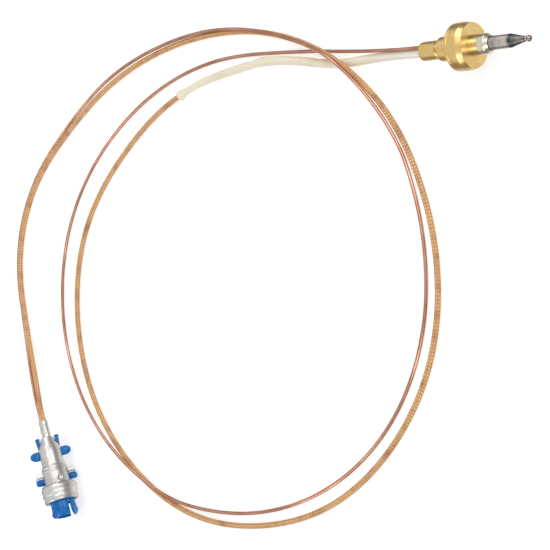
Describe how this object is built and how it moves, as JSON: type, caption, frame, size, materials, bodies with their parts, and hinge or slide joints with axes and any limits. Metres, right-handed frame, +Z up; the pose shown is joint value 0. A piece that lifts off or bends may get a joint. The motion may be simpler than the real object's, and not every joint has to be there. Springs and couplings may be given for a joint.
{
  "type": "cooker thermocouple",
  "caption": "Thermocouple with a flanged brass head and pencil probe, a bare lead and a braided lead in a loose loop, and a quick-fit plug with squeeze latches.",
  "frame": {"origin": "on the surface the part lies on, below the middle of the brass head with its probe", "axes": "+X along the probe, from the neck to the hot tip; +Z up; the part lies on z = 0"},
  "size_m": [0.2087, 0.1483, 0.012],
  "materials": {
    "brass": "turned, polished",
    "nickel": "nickel plated",
    "probe_steel": "heat tinted",
    "tinned_metal": "tinned, satin",
    "copper": "drawn wire",
    "constantan": "drawn wire",
    "ceramic": "matt",
    "sleeve": "coated glass sleeving",
    "glass_braid": "varnished glass braid",
    "blue_plastic": "moulded"
  },
  "bodies": {
    "root": {"mounting_flange": "brass", "neck_bush": "brass", "tip_ferrule": "nickel", "probe_sheath": "probe_steel", "hot_junction_bead": "probe_steel", "core_wire": "constantan", "ceramic_insulator": "ceramic", "cold_junction_crimp": "copper", "joint_insulator": "ceramic", "copper_lead": "copper", "insulated_lead": "glass_braid", "insulating_sleeve": "sleeve", "lead_crimp_ferrule": "tinned_metal", "plug_shell": "tinned_metal", "plug_collar": "tinned_metal", "shell_eyelet": "tinned_metal", "insulator_body": "blue_plastic", "rear_insulating_bush": "ceramic", "lead_terminal": "copper", "centre_contact": "brass"},
    "left_latch": {"latch_arm_left": "blue_plastic"},
    "right_latch": {"latch_arm_right": "blue_plastic"}
  },
  "joints": [
    {"name": "left_latch_squeeze", "type": "hinge", "parent": "root", "child": "left_latch", "pos_m": [-0.1652, -0.12398, 0.00835], "axis": [-0.728, -0.3016, -0.6157], "range_deg": [0, 2.5], "stiffness_Nm_per_rad": 0.02},
    {"name": "right_latch_squeeze", "type": "hinge", "parent": "root", "child": "right_latch", "pos_m": [-0.16173, -0.12254, 0.00355], "axis": [0.728, 0.3016, 0.6157], "range_deg": [0, 2.5], "stiffness_Nm_per_rad": 0.02}
  ]
}
